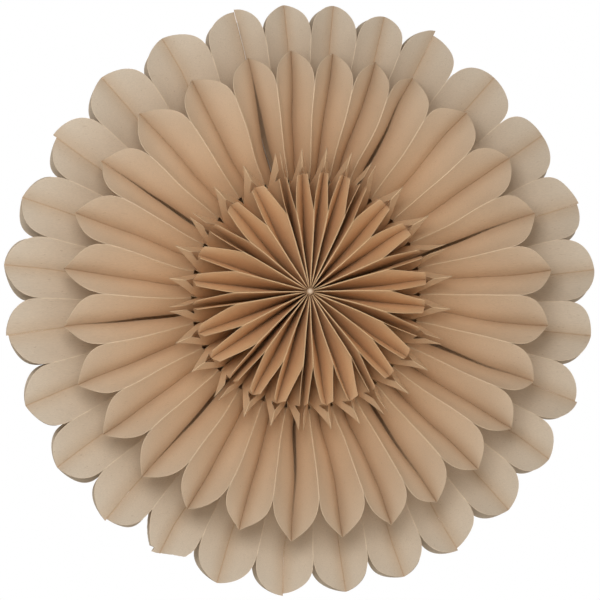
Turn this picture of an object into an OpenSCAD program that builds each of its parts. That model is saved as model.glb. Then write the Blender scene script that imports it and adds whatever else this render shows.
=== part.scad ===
// Paper star: a double-sided rosette of die-cut kraft paper sheets.
// Every sheet zigzags from the front edge to the back edge. It is glued to one
// neighbour along its ridge lines and to the other along its valley lines, so
// the closed stack opens like a honeycomb into points, leaves and petals.

/* [Paper] */
// Thickness of one sheet, measured round the star
paper_t = 0.3; // [0.2:0.05:0.5]
// Angle round the spine that one squeezed sheet may fill
squeeze_angle = 2.6; // [1.6:0.1:2.8]

/* [Inner star] */
// Radius of the blunt tips of the inner points
star_tip_r = 78; // [68:1:88]
// How far the notches between the points are cut back from the tips
star_cut = 26; // [18:1:30]
// Share of a panel that the blunt end takes up
star_blunt = 0.4; // [0.2:0.02:0.5]
// How far the corners of the blunt end lie behind its middle
star_round = 1.5; // [0.5:0.1:2.5]
// Height of the front edge over the mid-plane, at the notches
star_notch_h = 73; // [66:1:85]
// Height of the blunt tips over the mid-plane
star_tip_h = 56; // [50:1:62]

/* [Steep band behind the inner star] */
// How far the tips of the band stand out past the inner points
band_reach = 16; // [10:1:22]
// How far the notches of the band are cut back from its tips
band_cut = 22; // [15:1:30]
// Length of the relief cuts where a tier ends on a glue line
relief_l = 5; // [3:0.5:7]
// Share of a leaf panel that its relief cut reaches into
relief_share = 0.2; // [0.1:0.02:0.3]

/* [Middle leaves] */
// Radius of the pointed leaf tips
leaf_tip_r = 164; // [150:1:180]
// How far the notches between the leaves are cut back from the tips
leaf_cut = 28; // [20:1:36]
// Turn of the leaf's edge from notch to tip, 90 being fully round
leaf_turn = 56; // [30:1:90]
// Height of the notches over the mid-plane
leaf_notch_h = 56; // [48:1:62]
// Height of the leaf tips over the mid-plane
leaf_tip_h = 32; // [26:1:38]

/* [Backs of the leaves] */
// How far the backs end short of the leaf tips
under_setback = 14; // [8:1:20]
// How far the notches of the backs are cut in from their own tips
under_cut = 32; // [20:1:40]

/* [Outer petals] */
// Radius of the round petal tips
petal_tip_r = 200; // [190:1:225]
// How far the notches between the front petals are cut back from the tips
petal_cut = 26; // [18:1:30]
// The same for the back petals, which are cut less deep
back_petal_cut = 21; // [16:1:30]
// Turn of the petal's edge from notch to tip, 90 being fully round
petal_turn = 82; // [30:1:90]
// Height of the notches over the mid-plane
petal_notch_h = 14; // [9:1:19]

/* [Spine] */
// Height of the front edge over the mid-plane, at the spine
front_spine_h = 57; // [48:1:66]
// Height of the inner points' valleys at the spine
valley_spine_h = 28; // [18:1:36]
// Spacing at the spine of the other glue lines, which fan out from the middle
fan_gap = 2; // [1:0.5:4]
// Radius of the glue spine that binds the inner edges
spine_r = 2.4; // [2:0.1:4]
// Room between the spine and the sheets' inner edges
spine_fit = 0.05; // [0.02:0.01:0.1]

/* [Seams between the glued blocks] */
// Angle of the first seam, counted from the right as seen from the front
first_seam = 19.5; // [0:0.5:40]
// Angle by which the inner points lean towards a seam
seam_pinch = 2.5; // [0:0.5:3]
// Angle that the inner points and the band stay short of a seam
seam_gap = 0.9; // [0.1:0.1:1.4]

/* [Closing strip] */
// Thickness of the adhesive strip that closes the ring
strip_t = 0.2; // [0.1:0.05:0.4]
// Width of the closing strip
strip_w = 6; // [4:0.5:8]
// Room between the strip and the sheets on each side
strip_fit = 0.05; // [0.04:0.01:0.1]
// Radius at which the closing strip starts
strip_start_r = 60; // [50:1:100]
// How far the closing strip ends short of the petal tips
strip_setback = 8; // [5:1:40]

/* [Torn petal] */
// Number of the sheet whose petal is torn
torn_sheet = 34; // [1:1:56]
// How far the tear flattens the petal's round edge, 1 being straight
torn_share = 0.6; // [0.1:0.05:0.8]

/* [Hidden] */
// Blocks of pleats, in the order that they are laid round the ring: the angle
// that each block was opened to, and the number of its pleats
block_spread = [44, 40, 44, 40, 41, 38, 36, 37, 40];
block_pleats = [3, 4, 3, 3, 3, 3, 3, 3, 3];
// The block whose first seam closes the ring
closing_block = 2;

paper_colour = "#c8ae8f";
glue_colour = "#dcc7a8";
strip_colour = "#e6dfd4";

// Points on each leaf's and each petal's edge, and the slack of the test for
// cutting a panel into triangles
edge_steps = 4;
slack = 0.001;

function total(list, count) = count < 1 ? 0 : list[count - 1] + total(list, count - 1);

block_count = len(block_spread);
pleat_count = total(block_pleats, block_count);
sheet_count = 2 * pleat_count;
inner_r = spine_r + spine_fit;

star_notch_r = star_tip_r - star_cut;
band_tip_r = star_tip_r + band_reach;
band_notch_r = band_tip_r - band_cut;
leaf_notch_r = leaf_tip_r - leaf_cut;
under_tip_r = leaf_tip_r - under_setback;
under_notch_r = under_tip_r - under_cut;
petal_notch_r = petal_tip_r - petal_cut;
strip_end_r = petal_tip_r - strip_setback;

// Glue lines, from the front edge to the back edge. Odd lines are ridges, even
// lines are valleys, and the middle one lies in the mid-plane.
star_ridge = 1;
star_valley = 2;
leaf_ridge = 3;
leaf_valley = 4;
petal_ridge = 5;
middle_line = 6;
last_line = 2 * middle_line - 1;

// A crease stays straight when paper is folded, so every glue line runs straight
// from its height at the spine to its height at its outer end
spine_heights = [front_spine_h, valley_spine_h, 3 * fan_gap, 2 * fan_gap, fan_gap];
end_radii = [star_notch_r, star_tip_r, leaf_notch_r, leaf_tip_r, petal_notch_r];
end_heights = [star_notch_h, star_tip_h, leaf_notch_h, leaf_tip_h, petal_notch_h];
function front_height(line, r) =
    line == middle_line ? 0 :
    let (i = line - 1)
    spine_heights[i] + (end_heights[i] - spine_heights[i]) * r / end_radii[i];
function line_height(line, r) =
    line <= middle_line ? front_height(line, r) : -front_height(2 * middle_line - line, r);

// Die-cut edge of each panel, as points of radius and glue line. The blunt tips
// are cut across the valley, so the band behind them has the same cut.
function round_edge(line, tip_r, cut, turn) = [
    for (step = [0 : edge_steps])
        let (angle = turn * step / edge_steps)
        [tip_r - cut + cut * sin(angle) / sin(turn), line + (1 - cos(angle)) / (1 - cos(turn))]
];
star_edge = [
    [star_notch_r, star_ridge],
    [star_tip_r - star_round, star_valley - star_blunt],
    [star_tip_r, star_valley]
];
band_edge = [
    [star_tip_r, star_valley],
    [star_tip_r - star_round, star_valley + star_blunt],
    [star_tip_r + relief_l, star_valley],
    [band_tip_r, star_valley],
    [band_notch_r, leaf_ridge]
];
leaf_edge = concat(
    [
        [band_notch_r, leaf_ridge],
        [band_notch_r + relief_l, leaf_ridge + relief_share],
        [band_notch_r + relief_l, leaf_ridge]
    ],
    round_edge(leaf_ridge, leaf_tip_r, leaf_cut, leaf_turn),
    [[under_tip_r, leaf_valley]]
);
under_edge = [[under_tip_r, leaf_valley], [under_notch_r, petal_ridge]];
function petal_edge(cut) = concat(
    [[under_notch_r, petal_ridge]], round_edge(petal_ridge, petal_tip_r, cut, petal_turn)
);

// The back half of a sheet mirrors the front half, but for the petals' cut
function flipped(edge) = [
    for (i = [len(edge) - 1 : -1 : 0]) [edge[i][0], 2 * middle_line - edge[i][1]]
];
panel_edges = [
    star_edge, band_edge, leaf_edge, under_edge, petal_edge(petal_cut),
    flipped(petal_edge(back_petal_cut)), flipped(under_edge), flipped(leaf_edge), flipped(band_edge),
    flipped(star_edge)
];
panel_count = len(panel_edges);

// The sheet's whole outline: the die-cut edge, then the inner edge back again
function edge_start(panel) = panel == 1 ? 0 : edge_start(panel - 1) + len(panel_edges[panel - 2]) - 1;
cut_edge = concat(
    [for (edge = panel_edges) for (i = [0 : len(edge) - 2]) edge[i]],
    [[star_notch_r, last_line]]
);
outline = concat(
    [[inner_r, star_ridge]], cut_edge, [for (line = [last_line : -1 : star_valley]) [inner_r, line]]
);
function inner_index(line) = line == star_ridge ? 0 : 1 + len(cut_edge) + last_line - line;
function panel_outline(panel) = concat(
    [inner_index(panel)],
    [for (i = [edge_start(panel) : edge_start(panel + 1)]) 1 + i],
    [inner_index(panel + 1)]
);

// Triangles of a panel, cut off its outline one corner at a time. The panel is
// looked at along the paper's thickness, so its two faces never cross.
function spot_height(spot) =
    let (line = floor(spot[1]), share = spot[1] - line)
    share == 0 ? line_height(line, spot[0]) :
    (1 - share) * line_height(line, spot[0]) + share * line_height(line + 1, spot[0]);
function side_point(i) = [outline[i][0], -spot_height(outline[i])];
function turn_at(a, b, c) = cross(side_point(b) - side_point(a), side_point(c) - side_point(a));
function inside(a, b, c, p) = min(turn_at(a, b, p), turn_at(b, c, p), turn_at(c, a, p)) > -slack;
function corner(loop, i) = [loop[(i + len(loop) - 1) % len(loop)], loop[i], loop[(i + 1) % len(loop)]];
function is_free(loop, t) =
    turn_at(t[0], t[1], t[2]) > slack &&
    len([for (p = loop) if (p != t[0] && p != t[1] && p != t[2] && inside(t[0], t[1], t[2], p)) p]) == 0;
function free_corner(loop, i = 0) = is_free(loop, corner(loop, i)) ? i : free_corner(loop, i + 1);
function triangles(loop) =
    len(loop) == 3 ? [loop] :
    let (i = free_corner(loop))
    concat([corner(loop, i)], triangles([for (j = [0 : len(loop) - 1]) if (j != i) loop[j]]));
sheet_triangles = [for (panel = [1 : panel_count]) each triangles(panel_outline(panel))];

// A tear takes the round flank off a petal and leaves it nearly straight
function torn(spot) =
    let (
        from_tip = abs(spot[1] - middle_line),
        straight_r = petal_tip_r - from_tip * (spot[1] > middle_line ? back_petal_cut : petal_cut)
    )
    from_tip < 1 && spot[0] > petal_notch_r ?
    [(1 - torn_share) * spot[0] + torn_share * straight_r, spot[1]] : spot;

// Where each sheet stands: the angle of its ridges, how far its front ridge
// leans, the angle of its valleys, the way that it runs from ridge to valley,
// whether its valley is a seam, and whether that seam closes the ring
function block_start(block) = first_seam + total(block_spread, block);
sheets = [
    for (block = [0 : block_count - 1])
        let (pleats = block_pleats[block], pitch = block_spread[block] / pleats)
        for (pleat = [0 : pleats - 1], way = [-1, 1])
            let (
                ridge = block_start(block) + (pleat + 0.5) * pitch,
                lean = pleat == 0 ? -seam_pinch : pleat == pleats - 1 ? seam_pinch : 0,
                at_seam = way < 0 ? pleat == 0 : pleat == pleats - 1,
                next_block = way < 0 ? block : (block + 1) % block_count
            )
            [ridge, lean, ridge + way * pitch / 2, way, at_seam, at_seam && next_block == closing_block]
];

// Angle of a glue line. Only the inner points lean, and only their valleys part.
function is_ridge(line) = line % 2 == 1;
function is_like(line, front_line) = line == front_line || line == 2 * middle_line - front_line;
function line_angle(sheet, line) =
    is_ridge(line) ? sheet[0] + (is_like(line, star_ridge) ? sheet[1] : 0) :
    sheet[2] - (sheet[4] && is_like(line, star_valley) ? sheet[3] * seam_gap : 0);

// A point of one face of a sheet on a glue line. Face 0 touches the neighbour
// at the ridges, face 1 touches the neighbour at the valleys.
function sheet_t(r) = min(paper_t, r * squeeze_angle * PI / 180);
function strip_room(sheet, line) = sheet[5] && line == middle_line ? strip_t / 2 + strip_fit : 0;
function line_point(sheet, line, r, face) =
    let (
        angle = line_angle(sheet, line),
        shift = (is_ridge(line) ? face : face - 1) * sheet_t(r) - strip_room(sheet, line),
        along = [-sin(angle), cos(angle), 0] * sheet[3]
    )
    [r * cos(angle), r * sin(angle), line_height(line, r)] + shift * along;
function sheet_point(sheet, spot, face) =
    let (line = floor(spot[1]), share = spot[1] - line)
    share == 0 ? line_point(sheet, line, spot[0], face) :
    (1 - share) * line_point(sheet, line, spot[0], face) + share * line_point(sheet, line + 1, spot[0], face);

// Faces of the solid between the two faces of a sheet
outline_count = len(outline);
sheet_faces = concat(
    sheet_triangles,
    [for (t = sheet_triangles) [t[2], t[1], t[0]] + [1, 1, 1] * outline_count],
    [
        for (i = [0 : outline_count - 1])
            let (j = (i + 1) % outline_count)
            each [[i + outline_count, j + outline_count, j], [i + outline_count, j, i]]
    ]
);
function reversed(face) = [face[2], face[1], face[0]];

// The star is drawn flat and stood up, with its front towards -Y
module stood_up() {
    rotate([90, 0, 0])
        children();
}

module paper_sheet(number) {
    sheet = sheets[number - 1];
    spots = number == torn_sheet ? [for (spot = outline) torn(spot)] : outline;
    points = [for (face = [0, 1], spot = spots) sheet_point(sheet, spot, face)];
    color(paper_colour)
        stood_up()
            polyhedron(points, sheet[3] > 0 ? sheet_faces : [for (face = sheet_faces) reversed(face)]);
}

// Bead of dried glue along the axis, flush with the sheets' front and back edges
module glue_spine() {
    spine_l = 2 * line_height(star_ridge, inner_r);
    color(glue_colour)
        stood_up()
            cylinder(h = spine_l, r = spine_r, center = true, $fn = 48);
}

// Adhesive strip between the first and the last sheet, in the closing seam
module closing_strip() {
    color(strip_colour)
        stood_up()
            rotate(block_start(closing_block))
                translate([(strip_start_r + strip_end_r) / 2, 0, 0])
                    cube([strip_end_r - strip_start_r, strip_t, strip_w], center = true);
}

function sheet_name(number) = str("sheet_", number < 10 ? "0" : "", number);

for (number = [1 : sheet_count])
    paper_sheet(number);
glue_spine();
closing_strip();
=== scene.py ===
"""Kraft paper star: die-cut sheets, glued like a honeycomb and opened into a ring."""

import logging
import math
import random
from dataclasses import dataclass
from enum import Enum, IntEnum

import bpy
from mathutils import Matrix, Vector
from mathutils.geometry import delaunay_2d_cdt


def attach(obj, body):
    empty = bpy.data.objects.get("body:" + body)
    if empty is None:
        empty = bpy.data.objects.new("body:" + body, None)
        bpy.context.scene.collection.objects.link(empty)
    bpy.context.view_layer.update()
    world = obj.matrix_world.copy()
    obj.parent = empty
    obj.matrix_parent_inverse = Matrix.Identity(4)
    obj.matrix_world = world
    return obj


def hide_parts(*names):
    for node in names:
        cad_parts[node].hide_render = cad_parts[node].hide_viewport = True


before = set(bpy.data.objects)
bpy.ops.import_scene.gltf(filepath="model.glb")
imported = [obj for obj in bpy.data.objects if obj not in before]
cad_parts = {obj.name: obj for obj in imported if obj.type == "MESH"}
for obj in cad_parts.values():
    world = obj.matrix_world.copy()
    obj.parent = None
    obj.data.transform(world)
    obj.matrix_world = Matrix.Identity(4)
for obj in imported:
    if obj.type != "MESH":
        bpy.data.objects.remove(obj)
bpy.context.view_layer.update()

LOG = logging.getLogger("paper_star")
BODY = "root"
MM = 0.001
# Width that every panel of the flat blank is drawn with
PANEL_W = 27 * MM

# Names of the attributes that the sheets carry from the flat blank to the finish
LINE = "line"
CUT_EDGE = "cut_edge"
FLAT_MAP = "flat"

# Range that most values of a noise lie in
NOISE_RANGE = (0.3, 0.7)

# A spot on a sheet: its radius and the glue line that it lies on or between
Spot = tuple[float, float]
Colour = tuple[float, float, float]


class Way(IntEnum):
    """Way that a sheet runs from its ridges to its valleys, seen from the front."""

    CLOCKWISE = -1
    COUNTER = 1


class Wear(Enum):
    """State of the round petal tip of a sheet."""

    WHOLE = "whole"
    TORN = "torn"
    CLIPPED = "clipped"


class Graph:
    """Short forms for wiring the nodes of one tree."""

    def __init__(self, tree: bpy.types.NodeTree) -> None:
        """Keeps the tree that the nodes go into."""
        self.tree = tree

    def node(self, kind: str, **settings: object) -> bpy.types.Node:
        """Adds a node to the tree.

        Args:
            kind: The node's type.
            **settings: The node's properties, by name.

        Returns:
            The new node.
        """
        made = self.tree.nodes.new(kind)
        for name, value in settings.items():
            setattr(made, name, value)
        return made

    def feed(self, socket: bpy.types.NodeSocket, value: object) -> None:
        """Links an input to another node's output, or sets its constant.

        Args:
            socket: The input.
            value: An output socket, or a constant.
        """
        if isinstance(value, bpy.types.NodeSocket):
            self.tree.links.new(value, socket)
        else:
            socket.default_value = value

    def fill(self, node: bpy.types.Node, **values: object) -> bpy.types.Node:
        """Feeds inputs of a node, found by name.

        Args:
            node: The node.
            **values: What each input takes, with underscores for spaces.

        Returns:
            The same node.
        """
        for name, value in values.items():
            self.feed(node.inputs[name.replace("_", " ")], value)
        return node

    def math(self, operation: str, *values: object, clamp: bool = False) -> bpy.types.NodeSocket:
        """Adds a sum.

        Args:
            operation: Blender's name of the operation.
            *values: Sockets or numbers, in order.
            clamp: Whether the result is kept between 0 and 1.

        Returns:
            The socket that holds the result.
        """
        made = self.node("ShaderNodeMath", operation=operation, use_clamp=clamp)
        for socket, value in zip(made.inputs, values):
            self.feed(socket, value)
        return made.outputs[0]

    def vector_math(self, operation: str, first: object, second: object) -> bpy.types.NodeSocket:
        """Adds a sum of two vectors.

        Args:
            operation: Blender's name of the operation.
            first: A vector.
            second: A vector, or the factor of a SCALE.

        Returns:
            The socket that holds the result.
        """
        made = self.node("ShaderNodeVectorMath", operation=operation)
        self.feed(made.inputs[0], first)
        self.feed(made.inputs["Scale" if operation == "SCALE" else 1], second)
        return made.outputs[0]

    def blend(self, factor: object, low: object, high: object) -> bpy.types.NodeSocket:
        """Adds a straight mix of two numbers: low at a factor of 0 and high at 1."""
        return self.math("MULTIPLY_ADD", factor, self.math("SUBTRACT", high, low), low)

    def colours(self, factor: object, low: object, high: object) -> bpy.types.NodeSocket:
        """Adds a mix of two colours.

        Args:
            factor: Share of the second colour.
            low: The first colour.
            high: The second colour.

        Returns:
            The socket that holds the mixed colour.
        """
        made = self.node("ShaderNodeMix", data_type="RGBA")
        self.feed(made.inputs[0], factor)
        self.feed(made.inputs[6], low)
        self.feed(made.inputs[7], high)
        return made.outputs[2]

    def group(self, tree: bpy.types.NodeTree, inputs: dict[str, object]) -> bpy.types.NodeOutputs:
        """Adds a shader group.

        Args:
            tree: The group.
            inputs: What each of its inputs takes, by name.

        Returns:
            The group's outputs.
        """
        made = self.node("ShaderNodeGroup", node_tree=tree)
        for name, value in inputs.items():
            self.feed(made.inputs[name], value)
        return made.outputs

    def attribute(self, name: str, kind: str = "FLOAT") -> bpy.types.NodeSocket:
        """Adds a reader of one of the mesh's own attributes, in a geometry tree."""
        made = self.node("GeometryNodeInputNamedAttribute", data_type=kind)
        made.inputs["Name"].default_value = name
        return made.outputs["Attribute"]


def socket_kind(value: object) -> str:
    """Type of the tree input that takes a value.

    Args:
        value: A number, a vector, a material, or None for a geometry.

    Returns:
        Blender's name of the socket type.
    """
    if value is None:
        return "NodeSocketGeometry"
    if isinstance(value, bpy.types.Material):
        return "NodeSocketMaterial"
    if isinstance(value, (tuple, Vector)):
        return "NodeSocketVector"
    return "NodeSocketFloat"


def new_tree(name: str, kind: str, inputs: dict[str, object], outputs: dict[str, object]) -> Graph:
    """Makes a node tree with its named inputs and outputs.

    Args:
        name: The tree's name.
        kind: The tree's type.
        inputs: A value of each input's type, by name; a number is its default.
        outputs: A value of each output's type, by name.

    Returns:
        The tree, ready for wiring.
    """
    tree = bpy.data.node_groups.new(name, kind)
    for label, value in inputs.items():
        made = tree.interface.new_socket(label, in_out="INPUT", socket_type=socket_kind(value))
        if isinstance(value, (int, float)):
            made.default_value = value
    for label, value in outputs.items():
        tree.interface.new_socket(label, in_out="OUTPUT", socket_type=socket_kind(value))
    return Graph(tree)


def set_inputs(modifier: bpy.types.NodesModifier, values: dict[str, object]) -> None:
    """Sets a modifier's inputs by the identifiers of their sockets.

    Args:
        modifier: The Geometry Nodes modifier.
        values: What each input takes, by the input's name.
    """
    for item in modifier.node_group.interface.items_tree:
        if item.in_out == "INPUT" and item.name in values:
            modifier[item.identifier] = values[item.name]


def grown(
    name: str, mesh: bpy.types.Mesh, tree: bpy.types.NodeTree, values: dict[str, object]
) -> bpy.types.Object:
    """Runs a geometry tree on a mesh and keeps the result as a plain mesh.

    Args:
        name: Name of the new piece.
        mesh: The mesh that the tree starts from.
        tree: The geometry tree.
        values: What each of the tree's inputs takes, by name.

    Returns:
        The new piece, linked to the scene, with no modifier left on it.
    """
    piece = bpy.data.objects.new(name, mesh)
    bpy.context.scene.collection.objects.link(piece)
    modifier = piece.modifiers.new(tree.name, "NODES")
    modifier.node_group = tree
    set_inputs(modifier, values)
    seen = piece.evaluated_get(bpy.context.evaluated_depsgraph_get())
    shape = bpy.data.meshes.new_from_object(seen)
    shape.name = name
    piece.modifiers.remove(modifier)
    piece.data = shape
    return piece


@dataclass(frozen=True)
class Crease:
    """A glue line of the front half, straight from the spine to its outer end.

    Attributes:
        spine_h: Height over the mid-plane at the spine.
        end_r: Radius of the outer end.
        end_h: Height over the mid-plane there.
    """

    spine_h: float
    end_r: float
    end_h: float

    @property
    def climb(self) -> float:
        """Height gained per unit of radius."""
        return (self.end_h - self.spine_h) / self.end_r


@dataclass(frozen=True)
class Tier:
    """Tips and notches of the panels between two glue lines.

    Attributes:
        tip_r: Radius of the tips.
        cut: How far the notches are cut back from the tips.
        turn: Angle that a round edge turns through from notch to tip, in degrees.
    """

    tip_r: float
    cut: float
    turn: float = 0.0

    @property
    def notch_r(self) -> float:
        """Radius of the notches."""
        return self.tip_r - self.cut

    def round_edge(self, line: int, steps: int) -> list[Spot]:
        """Arc of a leaf's or a petal's edge, from its notch to its tip.

        Args:
            line: Glue line of the notch.
            steps: Number of steps along the arc.

        Returns:
            The spots along the edge.
        """
        whole = math.radians(self.turn)
        spots = []
        for step in range(steps + 1):
            angle = whole * step / steps
            share = (1 - math.cos(angle)) / (1 - math.cos(whole))
            spots.append((self.notch_r + self.cut * math.sin(angle) / math.sin(whole), line + share))
        return spots


@dataclass(frozen=True)
class Tear:
    """Edge of a petal half that has lost its round end.

    Attributes:
        corners: Spots of the torn edge from the notch to the tip: the radius, and
            the share of the way from the notch to the tip.
        rough: How far the torn edge strays.
        step: Distance between its small turns.
        seed: Fixed seed of the small turns.
    """

    corners: tuple[Spot, ...]
    rough: float = 0.25 * MM
    step: float = 1.6 * MM
    seed: int = 3

    def edge(self, line: int) -> list[Spot]:
        """Spots of the torn edge, from its notch to its tip.

        Args:
            line: Glue line of the notch.

        Returns:
            The spots along the edge, with small turns between the corners.
        """
        dice = random.Random(self.seed)
        spots = [self.corners[0]]
        for (start_r, start), (end_r, end) in zip(self.corners, self.corners[1:]):
            count = max(1, round(math.hypot(end_r - start_r, (end - start) * PANEL_W) / self.step))
            for i in range(1, count + 1):
                stray = dice.uniform(-self.rough, self.rough) if i < count else 0.0
                share = i / count
                spots.append((start_r + (end_r - start_r) * share + stray, start + (end - start) * share))
        return [(radius, line + share) for radius, share in spots]


@dataclass(frozen=True)
class DieCutBlank:
    """The flat sheet, cut to the outline of all its tiers, front and back.

    Attributes:
        thickness: Thickness of the paper.
        inner_r: Radius of the inner edge, at the glue.
        star: Points of the inner star.
        band: Pointed band between the star and the leaves.
        leaf: The leaves.
        under: The stretch that is cut back under the leaves.
        petal: The petals of the front half.
        back_petal: The petals of the back half, cut less deep.
        star_blunt: Half width of a star point's blunt end, as a share of a panel.
        star_round: How far the corners of that end lie behind its tip.
        relief_l: Length of the small cuts that let the tiers part.
        relief_share: Width of the cut under a leaf, as a share of a panel.
        creases: The glue lines from the front edge to the mid-plane.
        tears: Damaged edges, by the state of the petal tip.
        arc_steps: Number of steps along a round edge.
        row: Distance between the mesh's points along the radius.
        columns: Number of columns of points across a panel.
    """

    thickness: float = 0.3 * MM
    inner_r: float = 2.45 * MM
    star: Tier = Tier(78 * MM, 26 * MM)
    band: Tier = Tier(94 * MM, 22 * MM)
    leaf: Tier = Tier(164 * MM, 28 * MM, 56.0)
    under: Tier = Tier(150 * MM, 32 * MM)
    petal: Tier = Tier(200 * MM, 26 * MM, 82.0)
    back_petal: Tier = Tier(200 * MM, 21 * MM, 82.0)
    star_blunt: float = 0.4
    star_round: float = 1.5 * MM
    relief_l: float = 5 * MM
    relief_share: float = 0.2
    creases: tuple[Crease, ...] = (
        Crease(57 * MM, 52 * MM, 73 * MM),
        Crease(28 * MM, 78 * MM, 56 * MM),
        Crease(6 * MM, 136 * MM, 56 * MM),
        Crease(4 * MM, 164 * MM, 32 * MM),
        Crease(2 * MM, 174 * MM, 14 * MM),
        Crease(0.0, 200 * MM, 0.0),
    )
    tears: tuple[tuple[Wear, Tear], ...] = (
        (
            Wear.TORN,
            Tear((
                (174.4 * MM, 0.0),
                (195.6 * MM, 0.6),
                (195.4 * MM, 0.74),
                (199 * MM, 0.72),
                (197.8 * MM, 1.0),
            )),
        ),
        (
            Wear.CLIPPED,
            Tear(((174.0 * MM, 0.0), (184.5 * MM, 0.1), (191.0 * MM, 0.28), (197.6 * MM, 1.0))),
        ),
    )
    arc_steps: int = 16
    row: float = 6 * MM
    columns: int = 6

    @property
    def middle_line(self) -> int:
        """Number of the glue line in the mid-plane."""
        return len(self.creases)

    @property
    def last_line(self) -> int:
        """Number of the back edge, counted as a glue line."""
        return 2 * self.middle_line - 1

    def petal_edge(self, tier: Tier, wear: Wear) -> list[Spot]:
        """Edge of a petal half, from its notch to its tip.

        Args:
            tier: The front petals or the back petals.
            wear: State of the petal tip.

        Returns:
            The spots along the edge.
        """
        line = self.middle_line - 1
        tears = dict(self.tears)
        return tears[wear].edge(line) if wear in tears else tier.round_edge(line, self.arc_steps)

    def half_edge(self, petal: Tier, wear: Wear) -> list[Spot]:
        """Die-cut edge of one half, from its outer edge to the middle line.

        Args:
            petal: The petals of that half.
            wear: State of the petal tip.

        Returns:
            The spots along the edge.
        """
        blunt_r = self.star.tip_r - self.star_round
        relief_r = self.band.notch_r + self.relief_l
        return [
            *self.straight((self.star.notch_r, 1), (blunt_r, 2 - self.star_blunt), 2),
            (self.star.tip_r, 2),
            (blunt_r, 2 + self.star_blunt),
            (self.star.tip_r + self.relief_l, 2),
            *self.straight((self.band.tip_r, 2), (self.band.notch_r, 3), 3),
            (relief_r, 3 + self.relief_share),
            (relief_r, 3),
            *self.leaf.round_edge(3, self.arc_steps),
            (self.under.tip_r, 4),
            (self.under.notch_r, 5),
            *self.petal_edge(petal, wear),
        ]

    def straight(self, start: Spot, end: Spot, line: int) -> list[Spot]:
        """Edge that is straight once the sheet is folded.

        Args:
            start: The edge's first spot.
            end: Its last spot.
            line: Glue line that the distances are taken from.

        Returns:
            The spots along the edge, both ends among them.
        """
        (start_r, start_line), (end_r, end_line) = start, end
        spots = []
        for step in range(self.arc_steps + 1):
            share = step / self.arc_steps
            radius = start_r + (end_r - start_r) * share
            away = (start_line - line) * start_r * (1 - share) + (end_line - line) * end_r * share
            spots.append((radius, line + away / radius))
        return spots

    def crease_end(self, line: int) -> float:
        """Radius at which the fold along a glue line runs out."""
        ends = {
            2: self.star.tip_r,
            3: self.band.notch_r,
            4: self.under.tip_r,
            5: self.under.notch_r,
            6: self.petal.notch_r,
        }
        return ends[min(line, 2 * self.middle_line - line)]

    def outline(self, wear: Wear) -> list[Spot]:
        """Whole outline of the sheet.

        Args:
            wear: State of the petal tip.

        Returns:
            The spots round the sheet, from its front inner corner.
        """
        front = self.half_edge(self.petal, wear)
        behind = reversed(self.half_edge(self.back_petal, wear))
        back = [(radius, 2 * self.middle_line - line) for radius, line in behind]
        inner = [(self.inner_r, line) for line in range(self.last_line, 0, -1)]
        return front + back[1:] + inner

    def flat(self, spot: Spot) -> Vector:
        """Place of a spot on the flat sheet."""
        return Vector((spot[0], (spot[1] - 1) * PANEL_W))

    def stations(self, start: float, end: float) -> list[float]:
        """Radii along a crease, about a row apart, both ends among them."""
        count = max(1, round((end - start) / self.row))
        return [start + (end - start) * i / count for i in range(count + 1)]

    def walked(self, corners: list[Vector]) -> list[Vector]:
        """Closed outline with its long sides cut into shorter steps.

        Args:
            corners: The outline's corners.

        Returns:
            The corners, with points about a row apart between them.
        """
        points = []
        for start, end in zip(corners, corners[1:] + corners[:1]):
            count = max(1, round((end - start).length / self.row))
            points.extend(start.lerp(end, i / count) for i in range(count))
        return points

    def inner_points(self, outline: list[Vector]) -> list[Vector]:
        """Points between the creases and clear of the outline.

        Args:
            outline: The closed outline on the flat sheet.

        Returns:
            The points, in rows along every panel.
        """
        points = []
        clear = 0.6 * PANEL_W / self.columns
        for panel in range(1, self.last_line):
            for column in range(1, self.columns):
                for radius in self.stations(self.inner_r, self.petal.tip_r):
                    point = self.flat((radius, panel + column / self.columns))
                    if is_inside(point, outline, clear):
                        points.append(point)
        return points

    def triangles(self, wear: Wear) -> tuple[list[Vector], list[tuple[int, int, int]]]:
        """Triangles of the flat sheet, with an edge along every crease.

        Args:
            wear: State of the petal tip.

        Returns:
            The points, and the triangles as rising turns of three of them.
        """
        outline = self.walked([self.flat(spot) for spot in self.outline(wear)])
        points = list(outline)
        edges = [(i, (i + 1) % len(outline)) for i in range(len(outline))]
        for line in range(2, self.last_line):
            radii = self.stations(self.inner_r, self.crease_end(line))
            if line == self.middle_line:
                radii.append(max(p.x for p in outline if abs(p.y - self.flat((0.0, line)).y) < 1e-6))
            edges.extend((len(points) + i, len(points) + i + 1) for i in range(len(radii) - 1))
            points.extend(self.flat((radius, line)) for radius in radii)
        points.extend(self.inner_points(outline))
        made = delaunay_2d_cdt(points, edges, [], 1, 1e-6)
        turned = []
        for a, b, c in made[2]:
            rising = (made[0][b] - made[0][a]).cross(made[0][c] - made[0][a]) > 0
            turned.append((a, b, c) if rising else (a, c, b))
        return made[0], turned

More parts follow.
